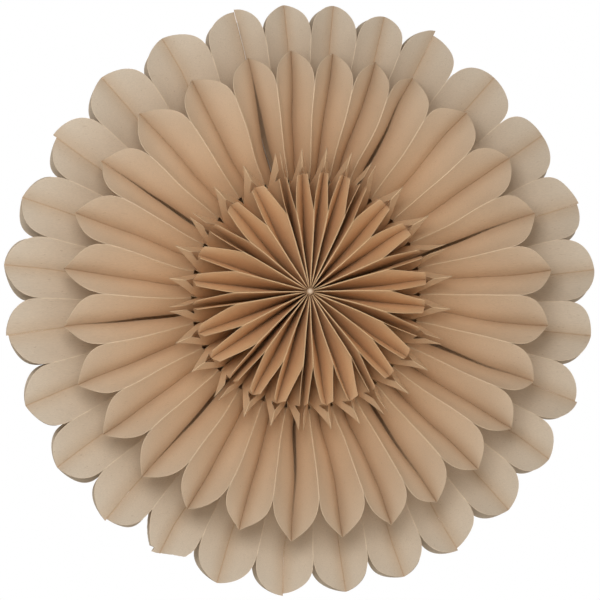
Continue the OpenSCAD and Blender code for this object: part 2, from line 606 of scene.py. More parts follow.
    def mesh(self, wear: Wear) -> bpy.types.Mesh:
        """Closed mesh of the flat sheet, with its glue lines and cut edges marked.

        Args:
            wear: State of the petal tip.

        Returns:
            The mesh, lying flat, the radius along X and the panels across Y.
        """
        points, triangles = self.triangles(wear)
        count = len(points)
        sides = {(t[i], t[(i + 1) % 3]) for t in triangles for i in range(3)}
        border = [(a, b) for a, b in sides if (b, a) not in sides]
        border.sort()
        faces = [(c, b, a) for a, b, c in triangles]
        faces += [(a + count, b + count, c + count) for a, b, c in triangles]
        faces += [(a, b, b + count, a + count) for a, b in border]
        mesh = bpy.data.meshes.new("blank_" + wear.value)
        corners = [(p.x, p.y, z) for z in (0.0, self.thickness) for p in points]
        mesh.from_pydata(corners, [], faces)
        lines = [1 + p.y / PANEL_W for p in points] * 2
        mesh.attributes.new(LINE, "FLOAT", "POINT").data.foreach_set("value", lines)
        walls = [len(face) == 4 for face in faces]
        mesh.attributes.new(CUT_EDGE, "BOOLEAN", "FACE").data.foreach_set("value", walls)
        self.mark_sharp(mesh, lines, {frozenset(side) for side in border})
        flat_map = mesh.uv_layers.new(name=FLAT_MAP)
        for loop, spot in zip(mesh.loops, flat_map.data):
            spot.uv = mesh.vertices[loop.vertex_index].co.xy
        mesh.update()
        return mesh

    def mark_sharp(self, mesh: bpy.types.Mesh, lines: list[float], border: set[frozenset[int]]) -> None:
        """Marks the creases and the rims of the cut edges as sharp.

        Args:
            mesh: The flat sheet.
            lines: Glue line of every vertex.
            border: Pairs of points along the outline.
        """
        count = len(lines) // 2
        slack = 1e-4
        sharp = []
        for edge in mesh.edges:
            a, b = edge.vertices
            rim = frozenset((a % count, b % count)) in border
            on_line = abs(lines[a] - round(lines[a])) < slack and abs(lines[a] - lines[b]) < slack
            sharp.append(rim or (on_line and a % count != b % count))
        mesh.attributes.new("sharp_edge", "BOOLEAN", "EDGE").data.foreach_set("value", sharp)


def is_inside(point: Vector, outline: list[Vector], clear: float) -> bool:
    """Tells whether a point lies inside an outline and clear of it.

    Args:
        point: The point.
        outline: The closed outline.
        clear: The least distance from the outline.

    Returns:
        True where the point is inside and far enough from every side.
    """
    inside = False
    for a, b in zip(outline, outline[1:] + outline[:1]):
        side = b - a
        share = min(1.0, max(0.0, (point - a).dot(side) / side.length_squared))
        if (a + side * share - point).length < clear:
            return False
        if (a.y > point.y) != (b.y > point.y):
            if point.x < a.x + side.x * (point.y - a.y) / side.y:
                inside = not inside
    return inside


@dataclass(frozen=True)
class Seam:
    """How two neighbouring blocks of pleats meet.

    Attributes:
        leaf_gap: How far each half of the leaf stays short of the seam at its root.
        slit: How far each half of the petal stays short of the seam.
        slides: How far the petal halves before and after the seam slid outwards.
    """

    leaf_gap: float = 1.0 * MM
    slit: float = 0.6 * MM
    slides: tuple[float, float] = (0.8 * MM, -0.8 * MM)


@dataclass(frozen=True)
class Sheet:
    """Place of one sheet in the ring, with its angles in degrees.

    Attributes:
        number: The sheet's number, counted round from the first seam.
        ridge: Angle of its ridges.
        lean: How far its front ridge leans.
        valley: Angle of its valleys.
        way: Way from its ridges to its valleys.
        seam: The seam that its valleys lie on, if they do.
        closes_ring: Whether that seam closes the ring.
    """

    number: int
    ridge: float
    lean: float
    valley: float
    way: Way
    seam: Seam | None
    closes_ring: bool

    @property
    def node(self) -> str:
        """Name of the solid that the sheet stands for."""
        return f"sheet_{self.number:02d}"


@dataclass(frozen=True)
class Warp:
    """Slight unevenness of hand-opened paper, the same for sheets that touch.

    Attributes:
        depth: How far a spot may stray.
        size: Distance over which the paper strays.
        full_r: Radius from which it strays fully.
        seed: Fixed seed of the unevenness.
    """

    depth: float = 5.0 * MM
    size: float = 70 * MM
    full_r: float = 90 * MM
    seed: float = 4.0

    def group(self) -> bpy.types.NodeTree:
        """Builds the group that moves a place by the unevenness there.

        Returns:
            The group, with a place going in and the moved place coming out.
        """
        place = {"Place": Vector()}
        sizes = {"Depth": self.depth, "Size": self.size, "Full Radius": self.full_r, "Seed": self.seed}
        graph = new_tree("paper_warp", "GeometryNodeTree", place | sizes, place)
        source = graph.node("NodeGroupInput").outputs
        noise = graph.node("ShaderNodeTexNoise", noise_dimensions="4D")
        per_size = graph.math("DIVIDE", 1.0, source["Size"])
        graph.fill(noise, Vector=source["Place"], W=source["Seed"], Scale=per_size, Detail=1.0)
        spread = graph.vector_math("SUBTRACT", noise.outputs["Color"], (0.5, 0.5, 0.5))
        parts = graph.node("ShaderNodeSeparateXYZ")
        graph.feed(parts.inputs[0], source["Place"])
        squares = [graph.math("POWER", parts.outputs[axis], 2.0) for axis in "XZ"]
        radius = graph.math("SQRT", graph.math("ADD", *squares))
        fade = graph.math("DIVIDE", radius, source["Full Radius"], clamp=True)
        reach = graph.math("MULTIPLY", fade, graph.math("MULTIPLY", 2.0, source["Depth"]))
        moved = graph.vector_math("ADD", source["Place"], graph.vector_math("SCALE", spread, reach))
        graph.feed(graph.node("NodeGroupOutput").inputs["Place"], moved)
        return graph.tree


class FoldTree:
    """Geometry tree that folds a flat blank and stands it in its place in the star."""

    def __init__(self, blank: DieCutBlank, warp: bpy.types.NodeTree, bow: float) -> None:
        """Builds the tree.

        Args:
            blank: The flat sheet that it folds.
            warp: Group for the paper's unevenness.
            bow: How far the panels curve between their creases, from 0 to 1.
        """
        self.blank = blank
        self.sizes = {
            "Paper Thickness": blank.thickness,
            "Middle Line": float(blank.middle_line),
            "Leaf Root": blank.band.tip_r,
            "Leaf Tip": blank.leaf.tip_r,
            "Petal Root": blank.under.notch_r,
            "Petal Notch": blank.petal.notch_r,
            "Slit Floor": 1 - 1 / blank.columns,
            "Bow": bow,
        }
        for panel, (high, low) in enumerate(zip(blank.creases, blank.creases[1:]), start=1):
            self.sizes[f"Rise {panel} at Spine"] = high.spine_h - low.spine_h
            self.sizes[f"Rise {panel} per Radius"] = high.climb - low.climb
        place = ("Ridge Angle", "Ridge Lean", "Valley Angle", "Way", "Squeeze")
        joint = ("Star Gap", "Leaf Gap", "Petal Slit", "Petal Slide", "Strip Room")
        inputs = {"Geometry": None} | dict.fromkeys(place + joint, 0.0) | self.sizes
        graph = new_tree("fold_sheet", "GeometryNodeTree", inputs, {"Geometry": None})
        for label in ("Paper", "Cut Edge"):
            graph.tree.interface.new_socket(label, in_out="INPUT", socket_type="NodeSocketMaterial")
        self.tree = graph.tree
        self.graph = graph
        self.source = graph.node("NodeGroupInput").outputs
        self.wire(warp)

    def height(self, radius: bpy.types.NodeSocket, front: bpy.types.NodeSocket) -> bpy.types.NodeSocket:
        """Wires the height of a spot over the mid-plane.

        Args:
            radius: The spot's radius.
            front: Its glue line, with the back half mirrored to the front.

        Returns:
            The sum of the panels' rises from the middle line up to the spot.
        """
        graph = self.graph
        total: object = 0.0
        for panel in range(1, self.blank.middle_line):
            at_spine = self.source[f"Rise {panel} at Spine"]
            rise = graph.math("MULTIPLY_ADD", radius, self.source[f"Rise {panel} per Radius"], at_spine)
            share = graph.math("SUBTRACT", float(panel + 1), front, clamp=True)
            total = graph.math("MULTIPLY_ADD", rise, share, total)
        return total

    def ramp(self, value: object, start: object, end: object) -> bpy.types.NodeSocket:
        """Adds an eased ramp from 0 at the start to 1 at the end."""
        made = self.graph.node("ShaderNodeMapRange", interpolation_type="SMOOTHSTEP")
        self.graph.fill(made, Value=value, From_Min=start, From_Max=end)
        return made.outputs[0]

    def opening(
        self,
        radius: bpy.types.NodeSocket,
        share: bpy.types.NodeSocket,
        leaf: bpy.types.NodeSocket,
        petal: bpy.types.NodeSocket,
    ) -> bpy.types.NodeSocket:
        """Wires how far the valleys of a leaf and a petal stay short of a seam.

        Args:
            radius: The spot's radius.
            share: Its share of the way from the ridge to the valley.
            leaf: 1 on the leaves and their backs, else 0.
            petal: 1 on the petals, else 0.

        Returns:
            The distance: widest at a leaf's root, and even along a petal, whose
            slit closes at its floor.
        """
        graph, source = self.graph, self.source
        closing = graph.math("SUBTRACT", 1.0, self.ramp(radius, source["Leaf Root"], source["Leaf Tip"]))
        opening = graph.math("DIVIDE", radius, source["Leaf Root"], clamp=True)
        wedge = graph.math("MULTIPLY", graph.math("MULTIPLY", closing, opening), source["Leaf Gap"])
        open_share = graph.math("SUBTRACT", 1.0, self.ramp(share, source["Slit Floor"], 1.0))
        reach = graph.math("MULTIPLY", self.ramp(radius, 0.0, source["Petal Root"]), open_share)
        slit = graph.math("MULTIPLY_ADD", reach, source["Petal Slit"], source["Strip Room"])
        return graph.math("MULTIPLY_ADD", petal, slit, graph.math("MULTIPLY", leaf, wedge))

    def wire(self, warp: bpy.types.NodeTree) -> None:
        """Wires the whole fold.

        Args:
            warp: Group for the paper's unevenness.
        """
        graph, source = self.graph, self.source
        flat = graph.node("ShaderNodeSeparateXYZ")
        graph.feed(flat.inputs[0], graph.node("GeometryNodeInputPosition").outputs[0])
        radius = flat.outputs["X"]
        face = graph.math("DIVIDE", flat.outputs["Z"], source["Paper Thickness"])
        line = graph.attribute(LINE)
        behind = graph.math("SUBTRACT", source["Middle Line"], line)
        front = graph.math("SUBTRACT", source["Middle Line"], graph.math("ABSOLUTE", behind))
        star = graph.math("LESS_THAN", front, 3.0)
        petal = graph.math("GREATER_THAN", front, 5.0)
        leaf = graph.math("SUBTRACT", graph.math("SUBTRACT", 1.0, star), petal)

        share = graph.math("PINGPONG", graph.math("SUBTRACT", line, 1.0), 1.0)
        share = graph.blend(source["Bow"], share, self.ramp(share, 0.0, 1.0))
        lean = graph.math("MULTIPLY", source["Ridge Lean"], graph.math("LESS_THAN", front, 2.0))
        ridge = graph.math("ADD", source["Ridge Angle"], lean)
        parted = graph.math("MULTIPLY", graph.math("MULTIPLY", source["Star Gap"], star), source["Way"])
        angle = graph.blend(share, ridge, graph.math("SUBTRACT", source["Valley Angle"], parted))

        room = graph.math("MULTIPLY", radius, source["Squeeze"])
        squeezed = graph.math("MINIMUM", source["Paper Thickness"], room)
        side = graph.math("MULTIPLY", graph.math("SUBTRACT", face, share), squeezed)
        short = graph.math("MULTIPLY", self.opening(radius, share, leaf, petal), share)
        shift = graph.math("MULTIPLY", source["Way"], graph.math("SUBTRACT", side, short))
        rise = graph.math("MULTIPLY", self.height(radius, front), graph.math("SIGN", behind))
        slid = graph.math("MULTIPLY", graph.math("MULTIPLY", petal, share), source["Petal Slide"])
        slide_share = self.ramp(radius, source["Petal Root"], source["Petal Notch"])
        radius = graph.math("MULTIPLY_ADD", slide_share, slid, radius)

        cosine, sine = graph.math("COSINE", angle), graph.math("SINE", angle)
        stood = graph.node("ShaderNodeCombineXYZ")
        along = graph.math("MULTIPLY", radius, cosine)
        up = graph.math("MULTIPLY", radius, sine)
        graph.fill(
            stood,
            X=graph.math("SUBTRACT", along, graph.math("MULTIPLY", shift, sine)),
            Y=graph.math("MULTIPLY", rise, -1.0),
            Z=graph.math("MULTIPLY_ADD", shift, cosine, up),
        )
        warped = graph.node("GeometryNodeGroup", node_tree=warp)
        graph.feed(warped.inputs["Place"], stood.outputs[0])
        placed = graph.node("GeometryNodeSetPosition")
        graph.fill(placed, Geometry=source["Geometry"], Position=warped.outputs["Place"])
        flipped = graph.node("GeometryNodeFlipFaces")
        turned = graph.math("LESS_THAN", source["Way"], 0.0)
        graph.fill(flipped, Mesh=placed.outputs[0], Selection=turned)
        finish_tree(graph, flipped.outputs[0], source)


def finish_tree(graph: Graph, shape: bpy.types.NodeSocket, source: object) -> None:
    """Ends a geometry tree: plain geometry, smooth shading and the two paper finishes.

    Args:
        graph: The tree.
        shape: The finished geometry.
        source: The tree's inputs, with the materials Paper and Cut Edge among them.
    """
    smooth = graph.node("GeometryNodeSetShadeSmooth")
    graph.fill(smooth, Geometry=shape)
    plain = graph.node("GeometryNodeRealizeInstances")
    graph.fill(plain, Geometry=smooth.outputs[0])
    faces = graph.node("GeometryNodeSetMaterial")
    graph.fill(faces, Geometry=plain.outputs[0], Material=source["Paper"])
    edges = graph.node("GeometryNodeSetMaterial")
    cut = graph.attribute(CUT_EDGE, "BOOLEAN")
    graph.fill(edges, Geometry=faces.outputs[0], Material=source["Cut Edge"], Selection=cut)
    graph.feed(graph.node("NodeGroupOutput").inputs["Geometry"], edges.outputs[0])


@dataclass(frozen=True)
class GrainGroup:
    """Shader group for paper: soft clouds, fibres and single dark fibres.

    Attributes:
        cloud_size: Size of the soft clouds.
        fibre_l: Length of a fibre.
        fibre_w: Width of a fibre.
    """

    cloud_size: float = 24 * MM
    fibre_l: float = 3.0 * MM
    fibre_w: float = 0.5 * MM

    def inputs(self, place: object) -> dict[str, object]:
        """What the group's inputs take, for a place and this grain's sizes."""
        sizes = {"Cloud Size": self.cloud_size, "Fibre Length": self.fibre_l, "Fibre Width": self.fibre_w}
        return {"Place": place} | sizes

    def build(self) -> bpy.types.NodeTree:
        """Builds the group.

        Returns:
            The group, with Clouds, Fibres and Flecks coming out as masks.
        """
        masks = dict.fromkeys(("Clouds", "Fibres", "Flecks"), 0.0)
        graph = new_tree("paper_grain", "ShaderNodeTree", self.inputs(Vector()), masks)
        source = graph.node("NodeGroupInput").outputs
        clouds = graph.node("ShaderNodeTexNoise")
        cloud_scale = graph.math("DIVIDE", 1.0, source["Cloud Size"])
        graph.fill(clouds, Vector=source["Place"], Scale=cloud_scale, Detail=3.0)
        stretch = graph.node("ShaderNodeCombineXYZ")
        across = graph.math("DIVIDE", 1.0, source["Fibre Width"])
        graph.fill(stretch, X=graph.math("DIVIDE", 1.0, source["Fibre Length"]), Y=across, Z=across)
        drawn = graph.vector_math("MULTIPLY", source["Place"], stretch.outputs[0])
        fibres = graph.node("ShaderNodeTexNoise")
        graph.fill(fibres, Vector=drawn, Scale=1.0, Detail=2.0, Distortion=0.8)
        flecks = graph.node("ShaderNodeTexNoise")
        graph.fill(flecks, Vector=drawn, Scale=0.6, Detail=1.0, Distortion=1.6)
        picked = graph.node("ShaderNodeMapRange")
        graph.fill(picked, Value=flecks.outputs[0], From_Min=0.68, From_Max=0.76)
        ends = graph.node("NodeGroupOutput")
        graph.fill(ends, Clouds=clouds.outputs[0], Fibres=fibres.outputs[0], Flecks=picked.outputs[0])
        return graph.tree


@dataclass(frozen=True)
class AxisFadeGroup:
    """Shader group for a fade from the axis outwards, such as the painted shade of the paper lifting
    towards its tips.

    Attributes:
        start_r: Radius at which the fade starts.
        end_r: Radius from which the fade is complete.
    """

    start_r: float = 65 * MM
    end_r: float = 194 * MM

    def inputs(self, place: object) -> dict[str, object]:
        """What the group's inputs take, for a place."""
        return {"Place": place, "Start": self.start_r, "End": self.end_r}

    def build(self) -> bpy.types.NodeTree:
        """Builds the group.

        Returns:
            The group, with a place going in and Fade coming out, from 0 to 1.
        """
        graph = new_tree("axis_fade", "ShaderNodeTree", self.inputs(Vector()), {"Fade": 0.0})
        source = graph.node("NodeGroupInput").outputs
        level = graph.vector_math("MULTIPLY", source["Place"], (1.0, 0.0, 1.0))
        length = graph.node("ShaderNodeVectorMath", operation="LENGTH")
        graph.feed(length.inputs[0], level)
        ramp = graph.node("ShaderNodeMapRange")
        graph.fill(ramp, Value=length.outputs["Value"], From_Min=source["Start"], From_Max=source["End"])
        graph.feed(graph.node("NodeGroupOutput").inputs["Fade"], ramp.outputs[0])
        return graph.tree


@dataclass(frozen=True)
class Groups:
    """The shader groups that the finishes share."""

    grain: bpy.types.NodeTree
    fade: bpy.types.NodeTree


@dataclass(frozen=True)
class ValleyShade:
    """Painted shade along a valley fold: a narrow dark line in a wide, soft darkening.

    Attributes:
        line_share: Share of a panel that the line takes up.
        line_depth: Strength of the line.
        shade_share: Share of a panel that the shade takes up.
        shade_depth: Strength of the shade.
    """

    line_share: float = 0.05
    line_depth: float = 0.35
    shade_share: float = 0.5
    shade_depth: float = 0.3

    def wire(self, graph: Graph) -> bpy.types.NodeSocket:
        """Wires the strength of the painted shade.

        Args:
            graph: The material's tree.

        Returns:
            The strength: highest on the valley lines, 0 away from them.
        """
        line = graph.node("ShaderNodeAttribute", attribute_name=LINE).outputs["Fac"]
        away = graph.math("PINGPONG", line, 1.0)
        marks = []
        for share, depth in ((self.line_share, self.line_depth), (self.shade_share, self.shade_depth)):
            near = graph.node("ShaderNodeMapRange", interpolation_type="SMOOTHSTEP")
            graph.fill(near, Value=away, From_Max=share, To_Min=depth, To_Max=0.0)
            marks.append(near.outputs[0])
        return graph.math("ADD", *marks)


@dataclass(frozen=True)
class PaperFinish:
    """Uncoated paper, coloured through.

    Attributes:
        name: The material's name.
        core: Colour near the axis, darker and warmer there as painted shade of the deep folds.
        rim: Colour at the tips, paler there as painted light.
        fleck: Colour of the single dark fibres.
        cloudy: How far the clouds lighten and darken the colour.
        fibre_tone: Factors of the colour between the fibres and on them.
        fleck_share: How strongly a dark fibre shows.
        roughness: Mean roughness of the surface.
        rough_spread: How far the fibres vary the roughness.
        sheen: Level of the mirror-like reflection.
        bump: Height of the fibres.
        bump_strength: How strongly that height shows.
        valley_shade: Colour of the painted shade along a valley fold, or None where there is no fold.
    """

    name: str
    core: Colour
    rim: Colour
    fleck: Colour
    cloudy: float = 0.10
    fibre_tone: tuple[float, float] = (0.94, 1.05)
    fleck_share: float = 0.4
    roughness: float = 0.82
    rough_spread: float = 0.12
    sheen: float = 0.25
    bump: float = 0.04 * MM
    bump_strength: float = 0.5
    valley_shade: Colour | None = None

    def build(self, groups: Groups) -> bpy.types.Material:
        """Builds the material.

        Args:
            groups: The shared shader groups.

        Returns:
            The material.
        """
        material = bpy.data.materials.new(self.name)
        material.use_nodes = True
        graph = Graph(material.node_tree)
        surface = material.node_tree.nodes["Principled BSDF"]
        place = graph.node("ShaderNodeTexCoord").outputs["Object"]
        masks = graph.group(groups.grain, GrainGroup().inputs(place))
        # Painted shade: the colour is darker and warmer towards the axis, where the folds lie deep, and
        # paler towards the tips
        painted_shade_fade = graph.group(groups.fade, AxisFadeGroup().inputs(place))["Fade"]
        tone = graph.colours(painted_shade_fade, (*self.core, 1.0), (*self.rim, 1.0))
        # Painted shade along the valley folds, darkest on the crease and fading across half a panel
        if self.valley_shade:
            tone = graph.colours(ValleyShade().wire(graph), tone, (*self.valley_shade, 1.0))
        clouds = graph.math("MULTIPLY_ADD", masks["Clouds"], self.cloudy, 1 - self.cloudy / 2)
        fibre = graph.node("ShaderNodeMapRange")
        (low, high), (between, on) = NOISE_RANGE, self.fibre_tone
        graph.fill(fibre, Value=masks["Fibres"], From_Min=low, From_Max=high, To_Min=between, To_Max=on)
        shade = graph.math("MULTIPLY", clouds, fibre.outputs[0])
        toned = graph.vector_math("SCALE", tone, shade)
        flecked = graph.math("MULTIPLY", masks["Flecks"], self.fleck_share)
        graph.feed(surface.inputs["Base Color"], graph.colours(flecked, toned, (*self.fleck, 1.0)))
        smoothest = self.roughness - self.rough_spread / 2
        rough = graph.math("MULTIPLY_ADD", masks["Fibres"], self.rough_spread, smoothest)
        graph.feed(surface.inputs["Roughness"], rough)
        surface.inputs["Specular IOR Level"].default_value = self.sheen
        bump = graph.node("ShaderNodeBump")
        graph.fill(bump, Height=masks["Fibres"], Strength=self.bump_strength, Distance=self.bump)
        graph.feed(surface.inputs["Normal"], bump.outputs[0])
        return material


@dataclass(frozen=True)
class GlueFinish:
    """Dried craft glue, with a painted highlight in the middle of a drop that fades to painted shade at
    its rim.

    Attributes:
        name: The material's name.
        glue_highlight: Colour at the axis, a painted highlight.
        glue_rim_shade: Colour at the rim of a drop, painted shade.
        highlight_r: Radius up to which the painted highlight is full.
        rim_shade_r: Radius from which the painted shade is full.
        grain: Sizes of its clouds and ripples.
        roughness: Mean roughness of the surface.
        rough_spread: How far the clouds vary the roughness.
        bump: Height of the ripples.
        bump_strength: How strongly that height shows.
    """

    name: str = "dried_glue"
    glue_highlight: Colour = (0.66, 0.52, 0.38)
    glue_rim_shade: Colour = (0.30, 0.18, 0.10)
    highlight_r: float = 0.7 * MM
    rim_shade_r: float = 2.2 * MM
    grain: GrainGroup = GrainGroup(3 * MM, 1.5 * MM, 1.5 * MM)
    roughness: float = 0.45
    rough_spread: float = 0.2
    bump: float = 0.3 * MM
    bump_strength: float = 0.4

    def build(self, groups: Groups) -> bpy.types.Material:
        """Builds the material.

        Args:
            groups: The shared shader groups.

        Returns:
            The material.
        """
        material = bpy.data.materials.new(self.name)
        material.use_nodes = True
        graph = Graph(material.node_tree)
        surface = material.node_tree.nodes["Principled BSDF"]
        place = graph.node("ShaderNodeTexCoord").outputs["Object"]
        masks = graph.group(groups.grain, self.grain.inputs(place))
        # Painted highlight in the middle of the drop, fading to painted shade at its rim
        highlight_fade = graph.group(groups.fade, AxisFadeGroup(self.highlight_r, self.rim_shade_r).inputs(place))["Fade"]
        tone = graph.colours(highlight_fade, (*self.glue_highlight, 1.0), (*self.glue_rim_shade, 1.0))
        graph.feed(surface.inputs["Base Color"], tone)
        smoothest = self.roughness - self.rough_spread / 2
        rough = graph.math("MULTIPLY_ADD", masks["Clouds"], self.rough_spread, smoothest)
        graph.feed(surface.inputs["Roughness"], rough)
        bump = graph.node("ShaderNodeBump")
        graph.fill(bump, Height=masks["Fibres"], Strength=self.bump_strength, Distance=self.bump)
        graph.feed(surface.inputs["Normal"], bump.outputs[0])
        return material


def plain_mesh(name: str, corners: list[Vector], faces: list[tuple[int, ...]]) -> bpy.types.Mesh:
    """Makes a mesh from corners and faces."""
    mesh = bpy.data.meshes.new(name)
    mesh.from_pydata(corners, [], faces)
    mesh.update()
    return mesh


def put(piece: bpy.types.Object, node: str) -> None:
    """Puts a finished piece in the place of its solid.

    Args:
        piece: The piece.
        node: Name of the solid.
    """
    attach(piece, BODY)
    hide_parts(node)
    LOG.info("%s: %d faces", piece.name, len(piece.data.polygons))


@dataclass(frozen=True)
class GlueBead:
    """Bead of dried glue along the axis, with a drop at both ends.

    Attributes:
        radius: Radius between the sheets' inner edges.
        half_l: Height of the sheets' front edge at the axis.
        drop_r: Radius of the drop on that edge.
        drop_h: How far the drop stands out past it.
        lump: How uneven the drop is, as a share of its radius.
        swells: Bulges round the drop: their number, their strength and their turn.
        rings: Number of rings on a drop.
        sides: Number of sides round the axis.
    """

    radius: float = 2.4 * MM
    half_l: float = 57.7 * MM
    drop_r: float = 2.6 * MM
    drop_h: float = 1.1 * MM
    lump: float = 0.07
    swells: tuple[tuple[int, float, float], ...] = ((2, 1.0, 0.6), (3, 0.6, 2.0))
    rings: int = 8
    sides: int = 40

    def profile(self) -> list[Spot]:
        """Heights and radii from the front pole to the back pole, the poles left out."""
        drop = []
        for ring in range(1, self.rings + 1):
            angle = math.pi / 2 * ring / self.rings
            drop.append((self.half_l + self.drop_h * math.cos(angle), self.drop_r * math.sin(angle)))
        neck = [(self.half_l - self.drop_h, self.radius)]
        front = drop + neck
        return front + [(-height, radius) for height, radius in reversed(front)]

    def mesh(self) -> bpy.types.Mesh:
        """Closed mesh of the bead, turned round the axis and slightly uneven."""
        spots = self.profile()
        corners = [Vector((0.0, -self.half_l - self.drop_h, 0.0))]
        for height, radius in spots:
            for side in range(self.sides):
                angle = 2 * math.pi * side / self.sides
                swell = sum(part * math.sin(count * angle + turn) for count, part, turn in self.swells)
                reach = radius * (1 + self.lump * swell * (radius > self.radius))
                corners.append(Vector((math.cos(angle) * reach, -height, math.sin(angle) * reach)))
        corners.append(Vector((0.0, self.half_l + self.drop_h, 0.0)))
        last = len(corners) - 1
        faces = []
        for side in range(self.sides):
            after = (side + 1) % self.sides
            faces.append((0, 1 + side, 1 + after))
            for row in range(len(spots) - 1):
                a, b = 1 + row * self.sides, 1 + (row + 1) * self.sides
                faces.append((a + side, b + side, b + after, a + after))
            end = last - self.sides
            faces.append((last, end + after, end + side))
        return plain_mesh("glue_bead", corners, faces)

    def build(self, glue: bpy.types.Material) -> bpy.types.Object:
        """Builds the bead and puts it in the place of its solid."""
        mesh = self.mesh()
        mesh.shade_smooth()
        mesh.materials.append(glue)
        piece = bpy.data.objects.new("glue_bead", mesh)
        bpy.context.scene.collection.objects.link(piece)
        put(piece, "glue_spine")
        return piece


@dataclass(frozen=True)
class ClosingStrip:
    """Adhesive strip between the first and the last sheet, in the closing seam.

    Attributes:
        angle: Angle of the closing seam, in degrees.
        start_r: Radius at which the strip starts.
        end_r: Radius at which it ends.
        width: Its width, from front to back.
        thickness: Its thickness.
        wave: How far its front edge strays.
        ripple: Turn of the waves from step to step.
        swell: Turn from step to step of the slower swell that the waves follow.
        swell_start: Turn of that swell at the strip's start.
        steps: Number of steps along the strip.
    """

    angle: float
    start_r: float = 60 * MM
    end_r: float = 192 * MM
    width: float = 6 * MM
    thickness: float = 0.2 * MM
    wave: float = 0.5 * MM
    ripple: float = 0.9
    swell: float = 0.23
    swell_start: float = 1.0
    steps: int = 44

    def mesh(self) -> bpy.types.Mesh:
        """Closed mesh of the strip, standing in the seam."""
        turn = math.radians(self.angle)
        out = Vector((math.cos(turn), 0.0, math.sin(turn)))
        side = Vector((-math.sin(turn), 0.0, math.cos(turn)))
        corners = []
        for step in range(self.steps + 1):
            radius = self.start_r + (self.end_r - self.start_r) * step / self.steps
            strength = math.sin(self.swell * step + self.swell_start)
            stray = self.wave * math.sin(self.ripple * step) * strength
            for across, face in ((-1, -1), (-1, 1), (1, 1), (1, -1)):
                depth = Vector((0.0, across * self.width / 2 + stray, 0.0))
                corners.append(out * radius + side * (face * self.thickness / 2) + depth)
        faces = [(3, 2, 1, 0), tuple(4 * self.steps + i for i in range(4))]
        for step in range(self.steps):
            a, b = 4 * step, 4 * step + 4
            faces.extend((a + i, a + (i + 1) % 4, b + (i + 1) % 4, b + i) for i in range(4))
        return plain_mesh("tape", corners, faces)

    def build(self, warp: bpy.types.NodeTree, liner: bpy.types.Material) -> bpy.types.Object:
        """Builds the strip, warped like the sheets beside it, in the place of its solid.

        Args:
            warp: Group for the paper's unevenness.
            liner: Finish of the strip.

        Returns:
            The strip.
        """
        graph = new_tree("warp_strip", "GeometryNodeTree", {"Geometry": None}, {"Geometry": None})
        graph.tree.interface.new_socket("Liner", in_out="INPUT", socket_type="NodeSocketMaterial")
        source = graph.node("NodeGroupInput").outputs
        warped = graph.node("GeometryNodeGroup", node_tree=warp)
        graph.feed(warped.inputs["Place"], graph.node("GeometryNodeInputPosition").outputs[0])
        placed = graph.node("GeometryNodeSetPosition")
        graph.fill(placed, Geometry=source["Geometry"], Position=warped.outputs["Place"])
        plain = graph.node("GeometryNodeRealizeInstances")
        graph.fill(plain, Geometry=placed.outputs[0])
        dressed = graph.node("GeometryNodeSetMaterial")
        graph.fill(dressed, Geometry=plain.outputs[0], Material=source["Liner"])
        graph.feed(graph.node("NodeGroupOutput").inputs["Geometry"], dressed.outputs[0])
        flat = self.mesh()
        piece = grown("tape_strip", flat, graph.tree, {"Liner": liner})
        bpy.data.meshes.remove(flat)
        put(piece, "closing_strip")
        return piece


